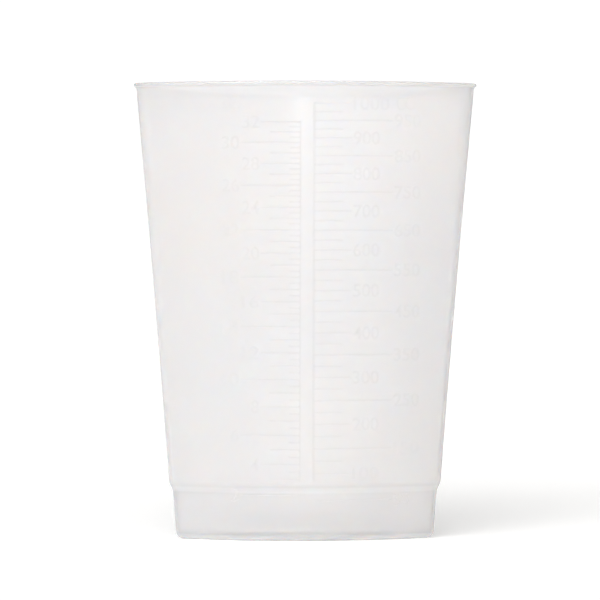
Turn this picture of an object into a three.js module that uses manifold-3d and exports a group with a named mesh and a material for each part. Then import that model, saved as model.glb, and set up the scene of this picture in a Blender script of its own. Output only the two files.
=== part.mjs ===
// Three-cornered measuring beaker for 1000 cc, moulded in one piece in translucent polypropylene.
// Millimetres, +Z up. The origin is the middle of the bounding box's bottom face, the scales face -Y
// and one pouring corner points to +Y.
//
// Every horizontal section is a rounded Reuleaux triangle, a curve of constant width. Its three corner
// centres are a span apart. Each corner is an arc about its own centre, and each bulging side is an arc
// about the centre of the corner opposite, so the six arcs of 60 degrees meet smoothly.

import * as THREE from 'three';
import { mergeVertices } from 'three/addons/utils/BufferGeometryUtils.js';
import Module from 'manifold-3d';

// Heights
const HEIGHT = 154.6;
const LIP_HEIGHT = 1.4;
const SHOULDER_BOTTOM = 16.6;
const SHOULDER_TOP = 19.2;
const FLOOR_TOP = 3;
const EDGE_ROUND = 2.5;
const INNER_ROUND = 1.6;

// Widths of the outside. The body's draft grows a little towards the mouth.
const FOOT_WIDTH = 87.6;
const BODY_WIDTH = 92.5;
const DRAFT = 0.15;
const FLARE = 0.000108;
const LIP_REACH = 0.75;

// Corner arcs of the outside, at the bottom and at the mouth
const FOOT_CORNER = 3;
const MOUTH_CORNER = 9;

// Wall thickness of the foot and of the body. It changes across the shoulder.
const FOOT_WALL = 2;
const BODY_WALL = 1.4;

// The raised round middle of the floor keeps the gate mark off the table.
const PLATEAU_RADIUS = 27.6;
const PLATEAU_RISE = 2.2;
const PLATEAU_SLOPE = 3;

// Scales on the front side. A reach is the distance from the side's middle line to a tick's far end.
const RIB = 0.6;
const RIB_GAP = 0.1;
const TICK_PROUD = 0.3;
const LINE_PROUD = 0.35;
const CC_LINE = 2.2;
const CC_REACH = { quarter: 11.9, hundred: 14.9, fifty: 28.8 };
const OZ_LINE = -2.3;
const OZ_REACH = { half: -6, odd: -12.5, fourth: -15.5, second: -22.2 };
const CC_VOLUME = 1000;
const OZ_VOLUME = 29573.5;
const LINE_START = 19.8;

const SEGMENTS = 48;
const BODY_ROWS = 6;
const EDGE_ROWS = 4;
const FACET = 7;
const COLOUR = { wall: 0xeceff1, lip: 0xe4e8ea, floor: 0xe6e9ea, rib: 0xdde2e5 };

const LIP_BOTTOM = HEIGHT - LIP_HEIGHT;
const FLOOR_EDGE = FLOOR_TOP + INNER_ROUND;

// The outside width at a height: the foot, then the sloping shoulder, then the flared body
function width(z) {
  const footTop = FOOT_WIDTH + DRAFT * SHOULDER_BOTTOM;
  if (z <= SHOULDER_BOTTOM) {
    return FOOT_WIDTH + DRAFT * z;
  }
  if (z < SHOULDER_TOP) {
    return THREE.MathUtils.mapLinear(z, SHOULDER_BOTTOM, SHOULDER_TOP, footTop, BODY_WIDTH);
  }
  const rise = z - SHOULDER_TOP;
  return BODY_WIDTH + DRAFT * rise + FLARE * rise * rise;
}

function cornerRadius(z) {
  return THREE.MathUtils.mapLinear(z, 0, HEIGHT, FOOT_CORNER, MOUTH_CORNER);
}

function wall(z) {
  const height = THREE.MathUtils.clamp(z, SHOULDER_BOTTOM, SHOULDER_TOP);
  return THREE.MathUtils.mapLinear(height, SHOULDER_BOTTOM, SHOULDER_TOP, FOOT_WALL, BODY_WALL);
}

// The distance between two corner centres
function span(z) {
  return width(z) - 2 * cornerRadius(z);
}

// The section at a height, offset outwards from the outside face. The normal turns evenly round it.
function outline(z, offset) {
  const apex = span(z) / Math.sqrt(3);
  const points = [];
  for (let i = 0; i < SEGMENTS; i += 1) {
    const turn = (i / SEGMENTS) * 360;
    const sixth = Math.floor((turn + 30) / 60);
    const onSide = sixth % 2 === 1;
    const centre = THREE.MathUtils.degToRad(90 + sixth * 60 + (onSide ? 180 : 0));
    const radius = cornerRadius(z) + (onSide ? span(z) : 0) + offset;
    const normal = THREE.MathUtils.degToRad(90 + turn);
    points.push(new THREE.Vector3(
      apex * Math.cos(centre) + radius * Math.cos(normal),
      apex * Math.sin(centre) + radius * Math.sin(normal),
      z,
    ));
  }
  return points;
}

// A round ring with as many points as an outline. A radius of 0 gives a point on the axis.
function circle(z, radius) {
  const points = [];
  for (let i = 0; i < SEGMENTS; i += 1) {
    const angle = Math.PI / 2 + (i / SEGMENTS) * 2 * Math.PI;
    points.push(new THREE.Vector3(radius * Math.cos(angle), radius * Math.sin(angle), z));
  }
  return points;
}

// A geometry with only positions, its shared vertices merged
function welded(geometry) {
  geometry.deleteAttribute('normal');
  geometry.deleteAttribute('uv');
  const merged = mergeVertices(geometry, 1e-4);
  merged.computeVertexNormals();
  return merged;
}

// One closed body through a list of rings, which ends where it starts or runs from axis to axis.
// A LatheGeometry gives the grid of faces, and its vertices then move onto the rings.
function loft(rings) {
  const profile = rings.map((ring, row) => new THREE.Vector2(1, -row));
  const geometry = new THREE.LatheGeometry(profile, SEGMENTS);
  const position = geometry.attributes.position;
  for (let segment = 0; segment <= SEGMENTS; segment += 1) {
    rings.forEach((ring, row) => {
      const point = ring[segment % SEGMENTS];
      position.setXYZ(segment * rings.length + row, point.x, point.y, point.z);
    });
  }
  return welded(geometry);
}

// A band of wall between two heights: up the outside and down the inside
function wallBand(bottom, top, rows) {
  const heights = Array.from({ length: rows + 1 }, (_, i) => bottom + ((top - bottom) * i) / rows);
  const outside = heights.map((z) => outline(z, 0));
  const inside = heights.map((z) => outline(z, -wall(z))).reverse();
  return loft([...outside, ...inside, outside[0]]);
}

// The lip: a bead on the outside with a rounded edge and a flat top
function lipRing() {
  const round = LIP_HEIGHT / 2;
  const bead = [];
  for (let i = 0; i <= EDGE_ROWS; i += 1) {
    const angle = THREE.MathUtils.mapLinear(i, 0, EDGE_ROWS, -90, 90);
    const lean = Math.cos(THREE.MathUtils.degToRad(angle));
    const lift = Math.sin(THREE.MathUtils.degToRad(angle));
    bead.push(outline(LIP_BOTTOM + round + round * lift, LIP_REACH * lean));
  }
  const inside = [outline(HEIGHT, -BODY_WALL), outline(LIP_BOTTOM, -BODY_WALL)];
  return loft([...bead, ...inside, bead[0]]);
}

// The floor: flat where it stands, its outer edge rounded up to the foot, its middle raised
function floorPlate() {
  const foot = PLATEAU_RADIUS + PLATEAU_SLOPE;
  const outside = [];
  const inside = [];
  for (let i = 0; i <= EDGE_ROWS; i += 1) {
    const angle = THREE.MathUtils.mapLinear(i, 0, EDGE_ROWS, 0, Math.PI / 2);
    const sink = 1 - Math.sin(angle);
    const lift = 1 - Math.cos(angle);
    outside.push(outline(EDGE_ROUND * lift, -EDGE_ROUND * sink));
    inside.unshift(outline(FLOOR_TOP + INNER_ROUND * lift, -FOOT_WALL - INNER_ROUND * sink));
  }
  const underside = [circle(PLATEAU_RISE, 0), circle(PLATEAU_RISE, PLATEAU_RADIUS), circle(0, foot)];
  const plateau = [circle(FLOOR_TOP, foot), circle(FLOOR_TOP + PLATEAU_RISE, PLATEAU_RADIUS)];
  const middle = circle(FLOOR_TOP + PLATEAU_RISE, 0);
  return loft([...underside, ...outside, outline(FLOOR_EDGE, 0), ...inside, ...plateau, middle]);
}

// The area inside the wall: the Reuleaux triangle of the corner centres, grown by the inner corner arc
function innerArea(z) {
  const side = span(z);
  const corner = cornerRadius(z) - wall(z);
  const triangle = ((Math.PI - Math.sqrt(3)) / 2) * side * side;
  return triangle + Math.PI * side * corner + Math.PI * corner * corner;
}

// The height of the liquid when the beaker holds a volume in cubic millimetres
function fillHeight(volume) {
  const step = 0.02;
  const foot = PLATEAU_RADIUS + PLATEAU_SLOPE;
  const cone = foot * foot + foot * PLATEAU_RADIUS + PLATEAU_RADIUS * PLATEAU_RADIUS;
  let filled = (-Math.PI * PLATEAU_RISE * cone) / 3;
  let z = FLOOR_TOP;
  while (filled < volume) {
    filled += innerArea(z) * step;
    z += step;
  }
  return z;
}

// A thin bar on the front side, between two distances along it and two heights, bent to the wall.
// A small gap parts it from the wall behind.
function bar(left, right, bottom, top, proud) {
  const columns = Math.ceil((right - left) / FACET);
  const rows = Math.ceil((top - bottom) / (FACET * 3));
  const box = new THREE.BoxGeometry(right - left, 1, top - bottom, columns, 1, rows);
  const position = box.attributes.position;
  for (let i = 0; i < position.count; i += 1) {
    const x = position.getX(i) + (left + right) / 2;
    const z = position.getZ(i) + (bottom + top) / 2;
    const radius = span(z) + cornerRadius(z);
    const face = span(z) / Math.sqrt(3) - Math.sqrt(radius * radius - x * x);
    const stand = position.getY(i) > 0 ? RIB_GAP : proud;
    position.setXYZ(i, x, face - stand, z);
  }
  return welded(box);
}

// A tick from a scale's upright line to its reach, centred on the height of its volume
function tick(line, reach, volume) {
  const z = fillHeight(volume);
  return bar(Math.min(line, reach), Math.max(line, reach), z - RIB / 2, z + RIB / 2, TICK_PROUD);
}

const wasm = await Module();
wasm.setup();

function solid(geometry) {
  return new wasm.Manifold(new wasm.Mesh({
    numProp: 3,
    vertProperties: geometry.attributes.position.array,
    triVerts: new Uint32Array(geometry.index.array),
  }));
}

// Bars joined into one body
function joined(bars) {
  const body = bars.map(solid).reduce((whole, next) => whole.add(next));
  const mesh = body.getMesh();
  const geometry = new THREE.BufferGeometry();
  geometry.setAttribute('position', new THREE.BufferAttribute(mesh.vertProperties, 3));
  geometry.setIndex(new THREE.BufferAttribute(mesh.triVerts, 1));
  geometry.computeVertexNormals();
  return geometry;
}

// The right-hand scale: a tick each 25 cc, longer each 100 and longest at the odd fifties
function ccScale() {
  const top = fillHeight(1000 * CC_VOLUME);
  const bars = [bar(CC_LINE - RIB / 2, CC_LINE + RIB / 2, LINE_START, top + RIB / 2, LINE_PROUD)];
  for (let cc = 100; cc <= 1000; cc += 25) {
    const kinds = [['hundred', 100], ['fifty', 50], ['quarter', 25]];
    const kind = kinds.find(([, every]) => cc % every === 0)[0];
    bars.push(tick(CC_LINE, CC_REACH[kind], cc * CC_VOLUME));
  }
  return joined(bars);
}

// The left-hand scale: a tick each half fluid ounce, longer at whole, fourth and second ounces
function ozScale() {
  const top = fillHeight(32 * OZ_VOLUME);
  const bars = [bar(OZ_LINE - RIB / 2, OZ_LINE + RIB / 2, LINE_START, top + RIB / 2, LINE_PROUD)];
  for (let oz = 3; oz <= 32; oz += 0.5) {
    const kinds = [['fourth', 4], ['second', 2], ['odd', 1], ['half', 0.5]];
    const kind = kinds.find(([, every]) => oz % every === 0)[0];
    bars.push(tick(OZ_LINE, OZ_REACH[kind], oz * OZ_VOLUME));
  }
  return joined(bars);
}

const beaker = new THREE.Group();

function add(name, geometry, colour) {
  const material = new THREE.MeshStandardMaterial({ color: colour, roughness: 0.4, metalness: 0 });
  const mesh = new THREE.Mesh(geometry, material);
  mesh.name = name;
  beaker.add(mesh);
}

add('floor_plate', floorPlate(), COLOUR.floor);
add('foot_wall', wallBand(FLOOR_EDGE, SHOULDER_BOTTOM, 1), COLOUR.wall);
add('nesting_shoulder', wallBand(SHOULDER_BOTTOM, SHOULDER_TOP, 1), COLOUR.wall);
add('body_wall', wallBand(SHOULDER_TOP, LIP_BOTTOM, BODY_ROWS), COLOUR.wall);
add('rim_lip', lipRing(), COLOUR.lip);
add('cc_scale_ribs', ccScale(), COLOUR.rib);
add('cc_50_rib', tick(CC_LINE, CC_REACH.fifty, 50 * CC_VOLUME), COLOUR.rib);
add('oz_scale_ribs', ozScale(), COLOUR.rib);
add('oz_2_rib', tick(OZ_LINE, OZ_REACH.second, 2 * OZ_VOLUME), COLOUR.rib);

// The three-fold axis isn't the middle of the bounding box, so the whole beaker moves along Y.
const lipMiddle = HEIGHT - LIP_HEIGHT / 2;
beaker.position.y = (-span(lipMiddle) * (2 / Math.sqrt(3) - 1)) / 2;

export default beaker;
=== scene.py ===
import math

import bpy
import numpy as np
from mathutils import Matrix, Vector


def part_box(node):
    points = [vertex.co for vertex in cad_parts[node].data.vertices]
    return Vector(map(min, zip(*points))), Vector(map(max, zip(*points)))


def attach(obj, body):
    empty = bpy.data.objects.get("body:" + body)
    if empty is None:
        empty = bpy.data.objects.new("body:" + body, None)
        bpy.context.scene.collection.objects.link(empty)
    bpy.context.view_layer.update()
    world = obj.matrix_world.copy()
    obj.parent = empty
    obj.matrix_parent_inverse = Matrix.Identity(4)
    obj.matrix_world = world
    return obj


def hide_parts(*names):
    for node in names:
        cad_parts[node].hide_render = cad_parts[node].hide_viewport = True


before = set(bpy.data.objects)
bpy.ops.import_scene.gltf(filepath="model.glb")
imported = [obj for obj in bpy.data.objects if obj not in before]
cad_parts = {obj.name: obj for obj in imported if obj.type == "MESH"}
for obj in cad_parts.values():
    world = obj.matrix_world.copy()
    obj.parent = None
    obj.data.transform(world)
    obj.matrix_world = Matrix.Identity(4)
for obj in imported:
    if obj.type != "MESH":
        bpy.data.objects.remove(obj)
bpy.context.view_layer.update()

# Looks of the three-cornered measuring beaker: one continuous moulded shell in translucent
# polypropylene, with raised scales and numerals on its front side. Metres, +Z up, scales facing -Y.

MM = 0.001

# ---------------------------------------------------------------- sizes taken from the frame

FLOOR_LOW, FLOOR_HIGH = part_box("floor_plate")
FOOT_LOW, FOOT_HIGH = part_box("foot_wall")
SHOULDER_LOW, SHOULDER_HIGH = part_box("nesting_shoulder")
BODY_LOW, BODY_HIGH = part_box("body_wall")
LIP_LOW, LIP_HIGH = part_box("rim_lip")
CC_LOW, CC_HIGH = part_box("cc_scale_ribs")
CC_50_LOW, CC_50_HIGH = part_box("cc_50_rib")
OZ_LOW, OZ_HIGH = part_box("oz_scale_ribs")

HEIGHT = LIP_HIGH.z
LIP_BOTTOM = LIP_LOW.z
SHOULDER_BOTTOM = SHOULDER_LOW.z
SHOULDER_TOP = SHOULDER_HIGH.z
PLATEAU_RISE = 2.2 * MM
FLOOR_TOP = FLOOR_HIGH.z - PLATEAU_RISE
INNER_ROUND = FOOT_LOW.z - FLOOR_TOP

FOOT_CORNER = 3 * MM
MOUTH_CORNER = 9 * MM
EDGE_ROUND = 2.5 * MM
FOOT_WALL = 2 * MM
BODY_WALL = 1.4 * MM
SHOULDER_ROUND = 0.9 * MM
INNER_LIP_ROUND = 0.4 * MM
PLATEAU_RADIUS = 27.6 * MM
PLATEAU_SLOPE = 3 * MM
PLATEAU_RINGS = (2 * MM, 6 * MM, 12 * MM, 17 * MM)

# The straight stretches of the wall end here, and the shoulder's bends lie between
FOOT_END = SHOULDER_BOTTOM - 3 * MM
BODY_START = SHOULDER_TOP + 3 * MM

BODY_WIDTH = SHOULDER_HIGH.x - SHOULDER_LOW.x
FOOT_TOP_WIDTH = FOOT_HIGH.x - FOOT_LOW.x
MOUTH_WIDTH = BODY_HIGH.x - BODY_LOW.x
DRAFT = (FOOT_TOP_WIDTH - (FLOOR_HIGH.x - FLOOR_LOW.x)) / (SHOULDER_BOTTOM - FOOT_LOW.z)
BODY_RISE = LIP_BOTTOM - SHOULDER_TOP
FLARE = (MOUTH_WIDTH - BODY_WIDTH - DRAFT * BODY_RISE) / BODY_RISE**2


def width(z):
    """The outside width at a height: the foot, the sloping shoulder, then the flared body."""
    if z <= SHOULDER_BOTTOM:
        return FOOT_TOP_WIDTH - DRAFT * (SHOULDER_BOTTOM - z)
    if z < SHOULDER_TOP:
        share = (z - SHOULDER_BOTTOM) / (SHOULDER_TOP - SHOULDER_BOTTOM)
        return FOOT_TOP_WIDTH + (BODY_WIDTH - FOOT_TOP_WIDTH) * share
    rise = z - SHOULDER_TOP
    return BODY_WIDTH + DRAFT * rise + FLARE * rise * rise


def corner_radius(z):
    return FOOT_CORNER + (MOUTH_CORNER - FOOT_CORNER) * z / HEIGHT


def span(z):
    """The distance between two corner centres of the rounded Reuleaux section."""
    return width(z) - 2 * corner_radius(z)


# The three-fold axis, found from the front face of the body at the mouth
AXIS_Y = BODY_LOW.y + (1 - 1 / math.sqrt(3)) * span(LIP_BOTTOM) + corner_radius(LIP_BOTTOM)
LIP_MIDDLE = (HEIGHT + LIP_BOTTOM) / 2
LIP_REACH = (LIP_HIGH.x - LIP_LOW.x - width(LIP_MIDDLE)) / 2
LEAST_CORNER = 0.05 * MM

# ---------------------------------------------------------------- mesh helpers

SIDE_STEPS = 44
CORNER_STEPS = 14


def section_turns():
    """(centre direction, is a side, normal direction) for each point round a section."""
    turns = []
    for sixth in range(6):
        on_side = sixth % 2 == 1
        steps = SIDE_STEPS if on_side else CORNER_STEPS
        centre = math.radians(90 + 60 * sixth + (180 if on_side else 0))
        for i in range(steps):
            normal = math.radians(60 + 60 * sixth + 60 * i / steps)
            turns.append((centre, on_side, normal))
    return turns


TURNS = section_turns()


def section(z, half):
    """The rounded Reuleaux section at a height, with a half width of its own."""
    apex = span(z) / math.sqrt(3)
    corner = max(half - span(z) / 2, LEAST_CORNER)
    ring = []
    for centre, on_side, normal in TURNS:
        radius = corner + (span(z) if on_side else 0)
        x = apex * math.cos(centre) + radius * math.cos(normal)
        y = AXIS_Y + apex * math.sin(centre) + radius * math.sin(normal)
        ring.append((x, y, z))
    return np.array(ring)


def circle(z, radius):
    """A round ring on the axis, with its points at the same turns as a section's."""
    turns = [normal for _, _, normal in TURNS]
    return np.array([(radius * math.cos(t), AXIS_Y + radius * math.sin(t), z) for t in turns])


def softened(points, cuts, steps=5):
    """A polyline whose inner corners are rounded, each starting its own cut before the corner."""
    path = [points[0]]
    for before, corner, after, cut in zip(points, points[1:], points[2:], cuts):
        corner = np.array(corner)
        back, ahead = np.array(before) - corner, np.array(after) - corner
        start = corner + back * (cut / np.linalg.norm(back))
        end = corner + ahead * (cut / np.linalg.norm(ahead))
        for i in range(steps + 1):
            t = i / steps
            path.append(tuple((1 - t) ** 2 * start + 2 * t * (1 - t) * corner + t**2 * end))
    path.append(points[-1])
    return path


def new_object(name, vertices, faces, material):
    mesh = bpy.data.meshes.new(name)
    mesh.from_pydata([tuple(v) for v in vertices], [], faces)
    mesh.validate()
    mesh.polygons.foreach_set("use_smooth", [True] * len(mesh.polygons))
    mesh.materials.append(material)
    piece = bpy.data.objects.new(name, mesh)
    bpy.context.scene.collection.objects.link(piece)
    return piece


# ---------------------------------------------------------------- the shell


def outer_path():
    """(half width, height) up the outside, from the standing face to the top of the lip."""
    path = []
    for i in range(9):
        angle = math.radians(90 * i / 8)
        z = EDGE_ROUND * (1 - math.cos(angle))
        path.append((width(z) / 2 - EDGE_ROUND * (1 - math.sin(angle)), z))
    for i in range(1, 4):
        z = EDGE_ROUND + (FOOT_END - EDGE_ROUND) * i / 4
        path.append((width(z) / 2, z))
    corners = [(width(z) / 2, z) for z in (FOOT_END, SHOULDER_BOTTOM, SHOULDER_TOP, BODY_START)]
    path += softened(corners, [SHOULDER_ROUND, SHOULDER_ROUND])
    under_lip = LIP_BOTTOM - 0.5 * MM
    for i in range(1, 31):
        z = BODY_START + (under_lip - BODY_START) * i / 30
        path.append((width(z) / 2, z))
    for i in range(17):
        angle = math.radians(-75 + 165 * i / 16)
        z = LIP_MIDDLE + (HEIGHT - LIP_MIDDLE) * math.sin(angle)
        path.append((width(z) / 2 + LIP_REACH * math.cos(angle), z))
    return path


def inner_path():
    """(half width, height) down the inside, from the top of the lip to the floor."""
    path = []
    for i in range(5):
        angle = math.radians(90 * i / 4)
        z = HEIGHT - INNER_LIP_ROUND * (1 - math.cos(angle))
        path.append((width(z) / 2 - BODY_WALL + INNER_LIP_ROUND * (1 - math.sin(angle)), z))
    wall_top = HEIGHT - INNER_LIP_ROUND
    for i in range(1, 31):
        z = wall_top + (BODY_START - wall_top) * i / 31
        path.append((width(z) / 2 - BODY_WALL, z))
    ledge_top = SHOULDER_TOP - 0.7 * MM
    ledge_bottom = SHOULDER_BOTTOM + 0.6 * MM
    corners = [
        (width(BODY_START) / 2 - BODY_WALL, BODY_START),
        (width(SHOULDER_TOP) / 2 - BODY_WALL, SHOULDER_TOP),
        (width(ledge_top) / 2 - BODY_WALL, ledge_top),
        (width(SHOULDER_BOTTOM) / 2 - FOOT_WALL, ledge_bottom),
        (width(FOOT_END) / 2 - FOOT_WALL, FOOT_END),
    ]
    path += softened(corners, [0.3 * MM, 0.4 * MM, 0.5 * MM])
    foot_start = FLOOR_TOP + INNER_ROUND
    for i in range(1, 4):
        z = FOOT_END + (foot_start - FOOT_END) * i / 4
        path.append((width(z) / 2 - FOOT_WALL, z))
    for i in range(9):
        angle = math.radians(90 * i / 8)
        z = foot_start - INNER_ROUND * math.sin(angle)
        path.append((width(z) / 2 - FOOT_WALL - INNER_ROUND * (1 - math.cos(angle)), z))
    return path


def plateau_path(base):
    """(radius, height) from the middle of the raised floor out to the flat round it."""
    cone = PLATEAU_RADIUS + PLATEAU_SLOPE
    corners = [
        (PLATEAU_RADIUS - 6 * MM, base + PLATEAU_RISE),
        (PLATEAU_RADIUS, base + PLATEAU_RISE),
        (cone, base),
        (cone + 1.5 * MM, base),
    ]
    return softened(corners, [0.8 * MM, 0.8 * MM])


def blend_rings(start, end, steps):
    return [start + (end - start) * i / steps for i in range(1, steps)]


def shell_rings():
    """Every ring of the shell, from the middle of the underside round to the middle of the floor."""
    underside = [circle(z, r) for r, z in plateau_path(0)]
    underside = [circle(PLATEAU_RISE, r) for r in PLATEAU_RINGS] + underside
    outside = [section(z, half) for half, z in outer_path()]
    inside = [section(z, half) for half, z in inner_path()]
    topside = [circle(z, r) for r, z in reversed(plateau_path(FLOOR_TOP))]
    topside += [circle(FLOOR_HIGH.z, r) for r in reversed(PLATEAU_RINGS)]
    standing = blend_rings(underside[-1], outside[0], 3)
    floor = blend_rings(inside[-1], topside[0], 3)
    return underside + standing + outside + inside + floor + topside


def make_shell(material):
    rings = shell_rings()
    count = len(TURNS)
    middles = [(0, AXIS_Y, PLATEAU_RISE), (0, AXIS_Y, FLOOR_HIGH.z)]
    vertices = np.concatenate([*rings, middles])
    under, top = len(vertices) - 2, len(vertices) - 1
    last = (len(rings) - 1) * count
    faces = []
    for row in range(len(rings) - 1):
        for i in range(count):
            j = (i + 1) % count
            a, b = row * count, (row + 1) * count
            faces.append((a + i, a + j, b + j, b + i))
    for i in range(count):
        j = (i + 1) % count
        faces.append((under, j, i))
        faces.append((top, last + i, last + j))
    shell = new_object("beaker_shell", vertices, faces, material)
    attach(shell, "root")
    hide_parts("floor_plate", "foot_wall", "nesting_shoulder", "body_wall", "rim_lip")


# ---------------------------------------------------------------- raised scales on the front side

RIB = CC_50_HIGH.z - CC_50_LOW.z
CC_LINE_WIDTH = 1.0 * MM
OZ_LINE_WIDTH = 0.6 * MM
PROUD = 0.2 * MM
EMBED = 0.08 * MM
CC_LINE = CC_LOW.x + RIB / 2
OZ_LINE = OZ_HIGH.x - RIB / 2
CC_REACH = {"quarter": 11.9 * MM, "hundred": 14.9 * MM, "fifty": CC_HIGH.x}
OZ_REACH = {"half": -6 * MM, "odd": -12.5 * MM, "fourth": -15.5 * MM, "second": OZ_LOW.x}
OZ_VOLUME = 29.5735
CC = 1e-6
GLYPH_HEIGHT = 4.45 * MM
GLYPH_WIDTH = 3.12 * MM
GLYPH_GAP = 0.5 * MM


def inner_area(z):
    thickness = FOOT_WALL if z <= SHOULDER_BOTTOM else BODY_WALL
    if SHOULDER_BOTTOM < z < SHOULDER_TOP:
        share = (z - SHOULDER_BOTTOM) / (SHOULDER_TOP - SHOULDER_BOTTOM)
        thickness = FOOT_WALL + (BODY_WALL - FOOT_WALL) * share
    side, corner = span(z), corner_radius(z) - thickness
    triangle = (math.pi - math.sqrt(3)) / 2 * side * side
    return triangle + math.pi * side * corner + math.pi * corner * corner


def fill_heights(volumes):
    """The liquid's height for each volume in cubic centimetres, as the moulded scale has it."""
    step = 0.05 * MM
    # The raised middle of the floor takes its volume away first
    cone = PLATEAU_RADIUS + PLATEAU_SLOPE
    ends = cone * cone + cone * PLATEAU_RADIUS + PLATEAU_RADIUS * PLATEAU_RADIUS
    filled, z, heights = -math.pi * PLATEAU_RISE * ends / 3, FLOOR_TOP, {}
    for volume in sorted(volumes):
        while filled < volume * CC:
            filled += inner_area(z) * step
            z += step
        heights[volume] = z
    return heights


def wall_point(x, z, stand):
    """A point on the front side's outside, or standing off it."""
    radius = span(z) + corner_radius(z)
    turn = math.asin(x / radius)
    y = AXIS_Y + span(z) / math.sqrt(3) - (radius + stand) * math.cos(turn)
    return ((radius + stand) * math.sin(turn), y, z)


def add_bar(vertices, faces, start, end, thick):
    """A raised line on the wall from (x, z) to (x, z), rounded across and at its ends."""
    (x0, z0), (x1, z1) = start, end
    length = math.hypot(x1 - x0, z1 - z0)
    along = ((x1 - x0) / length, (z1 - z0) / length)
    across = (-along[1], along[0])
    steps = max(2, math.ceil(length / (2 * MM)))
    # (distance along the line, share of the full height)
    stations = [(0, 0.35), (thick * 0.3, 0.85), (thick * 0.7, 1)]
    stations += [(length * i / steps, 1) for i in range(1, steps)]
    stations += [(length - thick * 0.7, 1), (length - thick * 0.3, 0.85), (length, 0.35)]
    stations = sorted(set(stations))
    # (share of the half thickness, share of the full height)
    shape = [(-1, 0), (-0.88, 0.7), (-0.65, 0.97), (0, 1), (0.65, 0.97), (0.88, 0.7), (1, 0)]
    first = len(vertices)
    for at, lift in stations:
        for side, rise in [*shape, (1, -1), (-1, -1)]:
            x = x0 + along[0] * at + across[0] * side * thick / 2
            z = z0 + along[1] * at + across[1] * side * thick / 2
            stand = -EMBED if rise < 0 else rise * PROUD * lift - EMBED * (1 - rise)
            vertices.append(wall_point(x, z, stand))
    loop = len(shape) + 2
    for row in range(len(stations) - 1):
        a, b = first + row * loop, first + (row + 1) * loop
        for i in range(loop):
            j = (i + 1) % loop
            faces.append((a + i, b + i, b + j, a + j))
    faces.append(tuple(first + i for i in range(loop)))
    last = first + (len(stations) - 1) * loop
    faces.append(tuple(last + i for i in reversed(range(loop))))


def make_scale(name, node, line, upright, ticks, material):
    """Ticks, as (reach, height) pairs, and their upright line, if any: (thickness, bottom, top)."""
    vertices, faces = [], []
    if upright:
        thick, bottom, top = upright
        add_bar(vertices, faces, (line, bottom), (line, top), thick)
    for reach, z in ticks:
        add_bar(vertices, faces, (line, z), (reach, z), RIB)
    piece = new_object(name, vertices, faces, material)
    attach(piece, "root")
    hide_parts(node)


def add_label(vertices, faces, text, x, z, align):
    """A raised numeral on the wall. x is its left or right edge and z its middle."""
    curve = bpy.data.curves.new("label", "FONT")
    curve.body = text
    curve.size = 1
    curve.extrude = 0.5
    # A little bolder than the plain typeface
    curve.offset = 0.012
    curve.resolution_u = 5
    holder = bpy.data.objects.new("label", curve)
    bpy.context.scene.collection.objects.link(holder)
    bpy.context.view_layer.update()
    shown = holder.evaluated_get(bpy.context.evaluated_depsgraph_get())
    flat = bpy.data.meshes.new_from_object(shown)
    points = np.array([v.co for v in flat.vertices])
    low, high = points.min(0), points.max(0)
    wide = len(text) * GLYPH_WIDTH - GLYPH_GAP
    left = x if align == "left" else x - wide
    first = len(vertices)
    for px, py, pz in points:
        across = left + (px - low[0]) / (high[0] - low[0]) * wide
        up = z + ((py - low[1]) / (high[1] - low[1]) - 0.5) * GLYPH_HEIGHT
        vertices.append(wall_point(across, up, PROUD if pz > 0 else -EMBED))
    for polygon in flat.polygons:
        faces.append(tuple(first + i for i in polygon.vertices))
    bpy.data.objects.remove(holder)
    bpy.data.curves.remove(curve)
    bpy.data.meshes.remove(flat)


def make_labels(name, labels, material):
    vertices, faces = [], []
    for text, x, z, align in labels:
        add_label(vertices, faces, text, x, z, align)
    piece = new_object(name, vertices, faces, material)
    piece.data.polygons.foreach_set("use_smooth", [False] * len(piece.data.polygons))
    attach(piece, "root")


def kind_of(value, kinds):
    """The first kind whose step divides the value."""
    return next(kind for kind, every in kinds if value % every == 0)


def make_scales(material):
    cc_marks = [50, *range(100, 1001, 25)]
    oz_marks = [2, *[oz / 2 for oz in range(6, 65)]]
    heights = fill_heights([*cc_marks, *[oz * OZ_VOLUME for oz in oz_marks]])
    cc_kinds = [("hundred", 100), ("fifty", 50), ("quarter", 25)]
    oz_kinds = [("fourth", 4), ("second", 2), ("odd", 1), ("half", 0.5)]
    cc_ticks = [(CC_REACH[kind_of(cc, cc_kinds)], heights[cc]) for cc in cc_marks]
    oz_ticks = [(OZ_REACH[kind_of(oz, oz_kinds)], heights[oz * OZ_VOLUME]) for oz in oz_marks]
    cc_upright = (CC_LINE_WIDTH, CC_LOW.z, CC_HIGH.z)
    oz_upright = (OZ_LINE_WIDTH, OZ_LOW.z, OZ_HIGH.z)
    make_scale("cc_scale", "cc_scale_ribs", CC_LINE, cc_upright, cc_ticks[1:], material)
    make_scale("cc_50_mark", "cc_50_rib", CC_LINE, None, cc_ticks[:1], material)
    make_scale("oz_scale", "oz_scale_ribs", OZ_LINE, oz_upright, oz_ticks[1:], material)
    make_scale("oz_2_mark", "oz_2_rib", OZ_LINE, None, oz_ticks[:1], material)

    gap = GLYPH_GAP
    cc_labels = [
        (str(cc), CC_REACH[kind_of(cc, cc_kinds)] + gap, heights[cc], "left")
        for cc in cc_marks
        if cc % 50 == 0
    ]
    oz_labels = [
        (str(int(oz)), OZ_REACH[kind_of(oz, oz_kinds)] - gap, heights[oz * OZ_VOLUME], "right")
        for oz in oz_marks
        if oz % 2 == 0
    ]
    unit_z = heights[1000]
    cc_labels.append(("CC", CC_REACH["fifty"] + 2 * gap, unit_z, "left"))
    oz_labels.append(("OZ", OZ_REACH["second"] - gap, unit_z, "right"))
    make_labels("cc_numerals", cc_labels, material)
    make_labels("oz_numerals", oz_labels, material)


# ---------------------------------------------------------------- the gate mark under the floor


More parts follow.
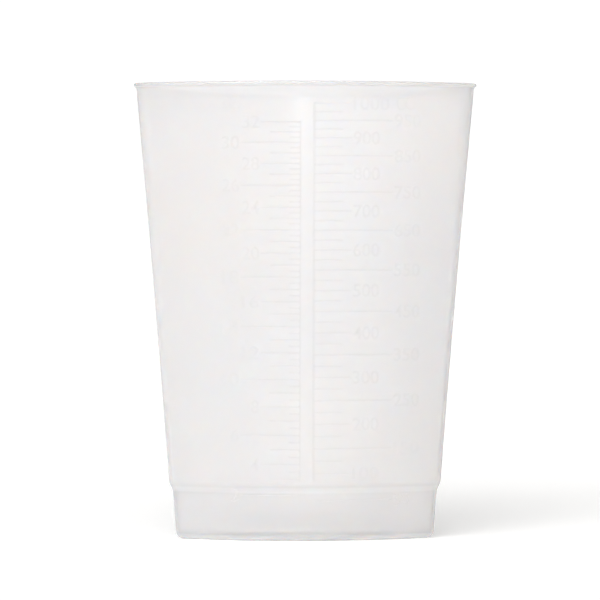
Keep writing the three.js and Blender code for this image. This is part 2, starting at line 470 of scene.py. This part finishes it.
def make_gate_mark(material):
    """The round pad left by the mould's gate, standing a little out of the raised underside."""
    # (radius, drop below the raised underside), in millimetres
    path = [(0.9, 0.35), (1.3, 0.3), (1.5, 0.12), (6.6, 0.12), (6.9, 0.28), (7.5, 0.28), (7.8, -0.1)]
    count = 64
    rings = [[(r * MM, PLATEAU_RISE - drop * MM) for _ in range(count)] for r, drop in path]
    vertices, faces = [], []
    for ring in rings:
        for i, (radius, z) in enumerate(ring):
            angle = 2 * math.pi * i / count
            vertices.append((radius * math.cos(angle), AXIS_Y + radius * math.sin(angle), z))
    for row in range(len(rings) - 1):
        for i in range(count):
            j = (i + 1) % count
            a, b = row * count, (row + 1) * count
            faces.append((a + j, a + i, b + i, b + j))
    faces.append(tuple(reversed(range(count))))
    last = (len(rings) - 1) * count
    faces.append(tuple(last + i for i in range(count)))
    piece = new_object("gate_mark", vertices, faces, material)
    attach(piece, "root")


# ---------------------------------------------------------------- materials


def new_material(name):
    material = bpy.data.materials.new(name)
    material.use_nodes = True
    tree = material.node_tree
    tree.nodes.clear()
    output = tree.nodes.new("ShaderNodeOutputMaterial")
    return material, tree, output


def add_noise(tree, scale, detail, stretch=(1, 1, 1)):
    """Noise in the piece's own coordinates. The scale is in features per metre."""
    place = tree.nodes.new("ShaderNodeTexCoord")
    mapping = tree.nodes.new("ShaderNodeMapping")
    mapping.inputs["Scale"].default_value = stretch
    noise = tree.nodes.new("ShaderNodeTexNoise")
    noise.inputs["Scale"].default_value = scale
    noise.inputs["Detail"].default_value = detail
    tree.links.new(place.outputs["Object"], mapping.inputs["Vector"])
    tree.links.new(mapping.outputs["Vector"], noise.inputs["Vector"])
    return noise.outputs["Fac"]


def add_range(tree, value, low, high, start=0.0, end=1.0):
    node = tree.nodes.new("ShaderNodeMapRange")
    node.inputs["From Min"].default_value = start
    node.inputs["From Max"].default_value = end
    node.inputs["To Min"].default_value = low
    node.inputs["To Max"].default_value = high
    tree.links.new(value, node.inputs["Value"])
    return node.outputs["Result"]


def add_math(tree, operation, *values):
    node = tree.nodes.new("ShaderNodeMath")
    node.operation = operation
    for socket, value in zip(node.inputs, values):
        if isinstance(value, (int, float)):
            socket.default_value = value
        else:
            tree.links.new(value, socket)
    return node.outputs["Value"]


def add_blend(tree, share, first, second):
    node = tree.nodes.new("ShaderNodeMix")
    node.data_type = "RGBA"
    node.inputs["A"].default_value = (*first, 1)
    node.inputs["B"].default_value = (*second, 1)
    tree.links.new(share, node.inputs["Factor"])
    return node.outputs["Result"]


def add_bump(tree, height, distance, strength, below=None):
    node = tree.nodes.new("ShaderNodeBump")
    node.inputs["Distance"].default_value = distance
    node.inputs["Strength"].default_value = strength
    tree.links.new(height, node.inputs["Height"])
    if below is not None:
        tree.links.new(below, node.inputs["Normal"])
    return node.outputs["Normal"]


# Painted light and shade in bands up the wall, as (bottom, top, change): the downward-facing bottom
# edge and shoulder slope are painted lighter as painted light from below, the foot is a little darker,
# and the lip is painted darker as painted shade against the light from above
PAINTED_LIGHT_AND_SHADE_BANDS = [
    (-1 * MM, 1.8 * MM, 0.12),
    (1.8 * MM, SHOULDER_BOTTOM - 0.2 * MM, -0.025),
    (SHOULDER_BOTTOM - 0.2 * MM, SHOULDER_TOP - 1.1 * MM, 0.07),
    (LIP_MIDDLE, HEIGHT + 1 * MM, -0.16),
]


def add_density(tree):
    """1 on the body wall, painted light on the bottom edge and shoulder, a little less in the foot,
    painted shade on the lip.
    """
    place = tree.nodes.new("ShaderNodeTexCoord")
    split = tree.nodes.new("ShaderNodeSeparateXYZ")
    tree.links.new(place.outputs["Object"], split.inputs["Vector"])
    total, soft = 1.0, 0.3 * MM
    for bottom, top, change in PAINTED_LIGHT_AND_SHADE_BANDS:
        rise = add_range(tree, split.outputs["Z"], 0, change, bottom - soft, bottom + soft)
        fall = add_range(tree, split.outputs["Z"], 0, change, top - soft, top + soft)
        total = add_math(tree, "ADD", total, add_math(tree, "SUBTRACT", rise, fall))
    return total


def natural_polypropylene(name, light, clear_front, clear_edge, milk, glow):
    """Milky, satin, slightly see-through plastic. It lets less through where it is seen aslant.

    clear_front and clear_edge are the shares let straight through, square on and at the outline.
    milk is the subsurface weight, and glow the transmission weight.
    """
    material, tree, output = new_material(name)
    shader = tree.nodes.new("ShaderNodeBsdfPrincipled")
    cloud = add_noise(tree, 18, 3)
    flow = add_noise(tree, 60, 4, stretch=(1, 1, 0.12))
    grain = add_noise(tree, 2600, 2)
    peel = add_noise(tree, 260, 2)
    warm = tuple(channel * change for channel, change in zip(light, (1.02, 1.006, 0.988)))
    tint = add_blend(tree, add_range(tree, cloud, 0, 1, 0.35, 0.65), light, warm)
    # The tint is scaled by the bands of painted light and shade up the wall
    shaded_tint = tree.nodes.new("ShaderNodeVectorMath")
    shaded_tint.operation = "SCALE"
    tree.links.new(tint, shaded_tint.inputs[0])
    tree.links.new(add_density(tree), shaded_tint.inputs["Scale"])
    tree.links.new(shaded_tint.outputs["Vector"], shader.inputs["Base Color"])
    tree.links.new(add_range(tree, flow, 0.16, 0.26, 0.3, 0.7), shader.inputs["Roughness"])
    shader.inputs["IOR"].default_value = 1.49
    shader.inputs["Specular IOR Level"].default_value = 0.95
    shader.inputs["Subsurface Weight"].default_value = milk
    shader.inputs["Transmission Weight"].default_value = glow
    shader.inputs["Subsurface Radius"].default_value = (1.0, 0.82, 0.68)
    shader.inputs["Subsurface Scale"].default_value = 1.0 * MM
    facing = tree.nodes.new("ShaderNodeLayerWeight")
    facing.inputs["Blend"].default_value = 0.5
    clear = add_range(tree, facing.outputs["Facing"], 1 - clear_front, 1 - clear_edge)
    tree.links.new(clear, shader.inputs["Alpha"])
    coarse = add_bump(tree, peel, 0.02 * MM, 0.35)
    fine = add_bump(tree, grain, 0.004 * MM, 0.4, coarse)
    tree.links.new(fine, shader.inputs["Normal"])
    tree.links.new(shader.outputs["BSDF"], output.inputs["Surface"])
    return material


FLOOR_GLOW = 0.16


def studio_floor():
    material, tree, output = new_material("studio_floor")
    shader = tree.nodes.new("ShaderNodeBsdfPrincipled")
    shader.inputs["Base Color"].default_value = (0.95, 0.95, 0.95, 1)
    shader.inputs["Roughness"].default_value = 0.9
    shader.inputs["Emission Color"].default_value = (1, 1, 1, 1)
    shader.inputs["Emission Strength"].default_value = FLOOR_GLOW
    tree.links.new(shader.outputs["BSDF"], output.inputs["Surface"])
    return material


# ---------------------------------------------------------------- studio

CAMERA_DISTANCE = 1.177
CAMERA_HEIGHT = 0.1006
CAMERA_LENS = 203.2
CAMERA_TURN = math.radians(-2)
CAMERA_PITCH = math.radians(0.964)
CAMERA_ASIDE = -0.85 * MM


def make_camera():
    """At the photograph's angle: level with the body, a little above its middle, seen from -Y."""
    data = bpy.data.cameras.new("camera")
    data.lens = CAMERA_LENS
    data.sensor_width = 36
    data.clip_start = 0.01
    camera = bpy.data.objects.new("camera", data)
    bpy.context.scene.collection.objects.link(camera)
    right = Vector((math.cos(CAMERA_TURN), math.sin(CAMERA_TURN), 0))
    back = Vector((math.sin(CAMERA_TURN), -math.cos(CAMERA_TURN), 0))
    camera.location = Vector((0, AXIS_Y, CAMERA_HEIGHT)) + back * CAMERA_DISTANCE + right * CAMERA_ASIDE
    camera.rotation_euler = (math.pi / 2 - CAMERA_PITCH, 0, CAMERA_TURN)
    bpy.context.scene.camera = camera


BACKDROP = 1.05
# The floor reaches this far from the origin each way, in metres
FLOOR_REACH = 60.0
# The studio's light from each side, as (direction, strength)
AROUND = [
    ((-1, 0, 0), (0.2, 0.21, 0.225)),
    ((0, -1, 0), (1.85, 1.83, 1.8)),
    ((0, 1, 0), (0.36, 0.36, 0.37)),
    ((0, 0, 1), (0.81, 0.8, 0.78)),
]
# Wide soft lamps, as (name, azimuth to the right of the camera, elevation, spread, strength)
LAMPS = [("key", -21, 25, 50, 1.62), ("fill", -47, 47, 50, 0.25)]


def bearing(azimuth, elevation):
    side, up = math.radians(azimuth), math.radians(elevation)
    return Vector((math.sin(side) * math.cos(up), -math.cos(side) * math.cos(up), math.sin(up)))


def make_lamp(name, azimuth, elevation, spread, strength):
    data = bpy.data.lights.new(name, "SUN")
    data.angle = math.radians(spread)
    data.energy = strength
    light = bpy.data.objects.new(name, data)
    toward = bearing(azimuth, elevation)
    light.rotation_euler = toward.to_track_quat("Z", "Y").to_euler()
    light.location = toward
    bpy.context.scene.collection.objects.link(light)


def make_world():
    """Plain white behind the beaker, and an even light whose strength differs from side to side."""
    world = bpy.data.worlds.new("studio")
    world.use_nodes = True
    tree = world.node_tree
    tree.nodes.clear()
    output = tree.nodes.new("ShaderNodeOutputWorld")
    seen = tree.nodes.new("ShaderNodeBackground")
    seen.inputs["Color"].default_value = (1, 1, 1, 1)
    seen.inputs["Strength"].default_value = BACKDROP
    lit = tree.nodes.new("ShaderNodeBackground")
    place = tree.nodes.new("ShaderNodeTexCoord")
    total = None
    for direction, colour in AROUND:
        toward = tree.nodes.new("ShaderNodeVectorMath")
        toward.operation = "DOT_PRODUCT"
        toward.inputs[1].default_value = direction
        tree.links.new(place.outputs["Generated"], toward.inputs[0])
        facing = add_math(tree, "MAXIMUM", toward.outputs["Value"], 0.0)
        lobe = add_math(tree, "POWER", facing, 2.0)
        share = tree.nodes.new("ShaderNodeVectorMath")
        share.operation = "MULTIPLY_ADD"
        share.inputs[1].default_value = colour
        tree.links.new(lobe, share.inputs[0])
        if total is not None:
            tree.links.new(total, share.inputs[2])
        total = share.outputs["Vector"]
    tree.links.new(total, lit.inputs["Color"])
    path = tree.nodes.new("ShaderNodeLightPath")
    mix = tree.nodes.new("ShaderNodeMixShader")
    tree.links.new(path.outputs["Is Camera Ray"], mix.inputs["Fac"])
    tree.links.new(lit.outputs["Background"], mix.inputs[1])
    tree.links.new(seen.outputs["Background"], mix.inputs[2])
    tree.links.new(mix.outputs["Shader"], output.inputs["Surface"])
    bpy.context.scene.world = world


def make_floor():
    far = FLOOR_REACH
    vertices = [(-far, -far, 0), (far, -far, 0), (far, far, 0), (-far, far, 0)]
    floor = new_object("studio_floor", vertices, [(0, 1, 2, 3)], studio_floor())


def make_studio():
    scene = bpy.context.scene
    scene.view_settings.view_transform = "Standard"
    scene.cycles.transparent_max_bounces = 16
    make_camera()
    make_world()
    make_floor()
    for lamp in LAMPS:
        make_lamp(*lamp)


shell_plastic = natural_polypropylene(
    "shell_plastic", (0.849, 0.848, 0.861), clear_front=0.45, clear_edge=0.0, milk=1.0, glow=0.45
)
# The marks are the shell's plastic painted darker: painted shade standing in for the shading of their
# raised relief
shaded_mark_plastic = natural_polypropylene(
    "shaded_mark_plastic", (0.64, 0.638, 0.646), clear_front=0.915, clear_edge=0.865, milk=0.0, glow=0.0
)
make_shell(shell_plastic)
make_scales(shaded_mark_plastic)
make_gate_mark(shaded_mark_plastic)
make_studio()
